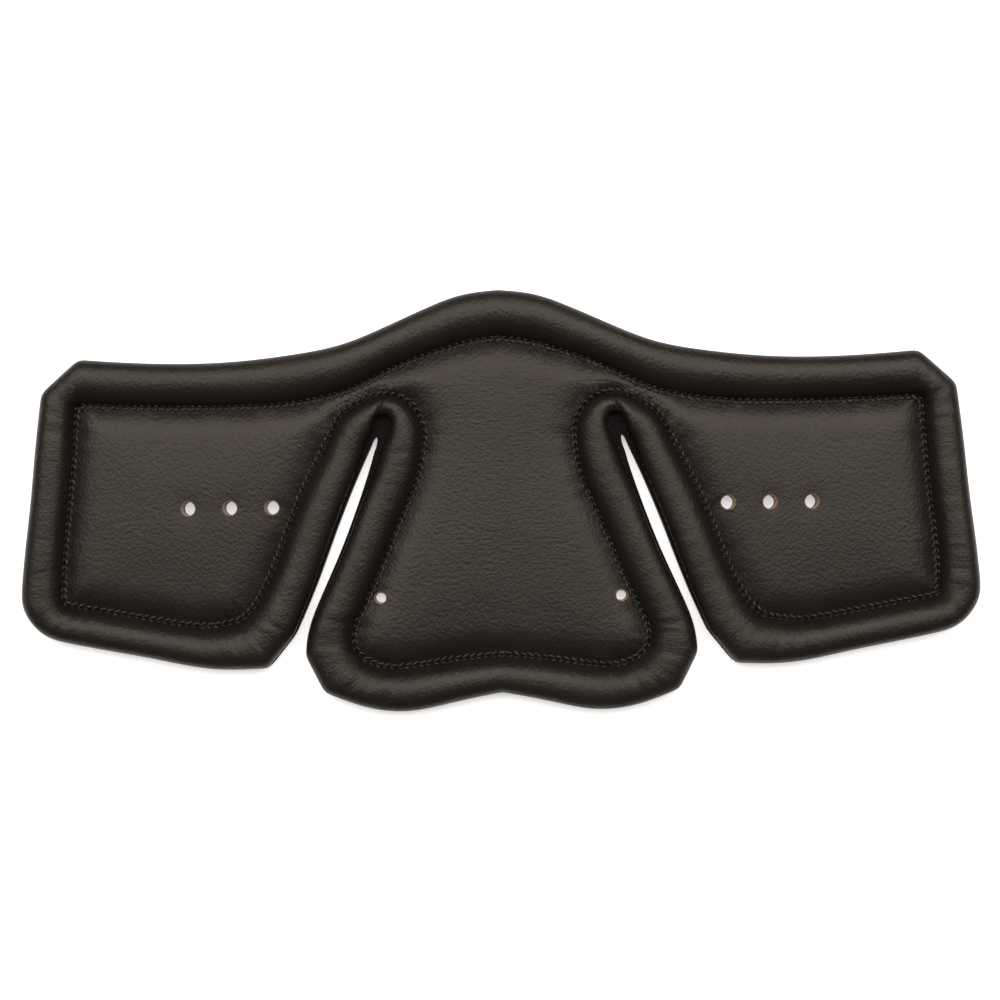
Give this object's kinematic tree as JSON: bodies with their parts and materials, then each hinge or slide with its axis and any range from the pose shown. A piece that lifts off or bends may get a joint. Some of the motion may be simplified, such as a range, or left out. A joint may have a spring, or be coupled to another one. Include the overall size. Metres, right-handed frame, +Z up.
{
  "type": "horse collar pad",
  "caption": "Padded leather collar pad of a driving harness: an arch with two folding wings and a broad tongue, stitched rolled rim and punched fastening holes.",
  "frame": {"origin": "under the middle of the collar's bounding box, on the surface that it lies on", "axes": "+X towards the right wing's tip, +Y from the tongue to the arch, +Z up out of the padded face"},
  "size_m": [0.3464, 0.1518, 0.0125],
  "materials": {
    "lining_leather": "smooth dyed lining leather",
    "core_leather": "undyed vegetable-tanned leather, raw cut edges",
    "roll_foam": "dense felt",
    "panel_foam": "dense felt",
    "cover_leather": "soft satin leather",
    "seam_thread": "thick waxed thread",
    "edge_thread": "waxed thread"
  },
  "bodies": {
    "middle": {"middle_lining": "lining_leather", "middle_core": "core_leather", "middle_roll_padding": "roll_foam", "middle_panel_padding": "panel_foam", "middle_cover": "cover_leather", "middle_seam_thread": "seam_thread", "middle_edge_thread": "edge_thread"},
    "left_wing": {"left_wing_lining": "lining_leather", "left_wing_core": "core_leather", "left_wing_roll_padding": "roll_foam", "left_wing_panel_padding": "panel_foam", "left_wing_cover": "cover_leather", "left_wing_seam_thread": "seam_thread", "left_wing_edge_thread": "edge_thread"},
    "right_wing": {"right_wing_lining": "lining_leather", "right_wing_core": "core_leather", "right_wing_roll_padding": "roll_foam", "right_wing_panel_padding": "panel_foam", "right_wing_cover": "cover_leather", "right_wing_seam_thread": "seam_thread", "right_wing_edge_thread": "edge_thread"}
  },
  "joints": [
    {"name": "left_wing_bend", "type": "hinge", "parent": "middle", "child": "left_wing", "pos_m": [-0.0441, 0.02345, 0.00295], "axis": [0.3662, 0.9305, 0], "range_deg": [0, 45], "stiffness_Nm_per_rad": 0.15},
    {"name": "right_wing_bend", "type": "hinge", "parent": "middle", "child": "right_wing", "pos_m": [0.0441, 0.02345, 0.00295], "axis": [0.3662, -0.9305, 0], "range_deg": [0, 45], "stiffness_Nm_per_rad": 0.15}
  ]
}
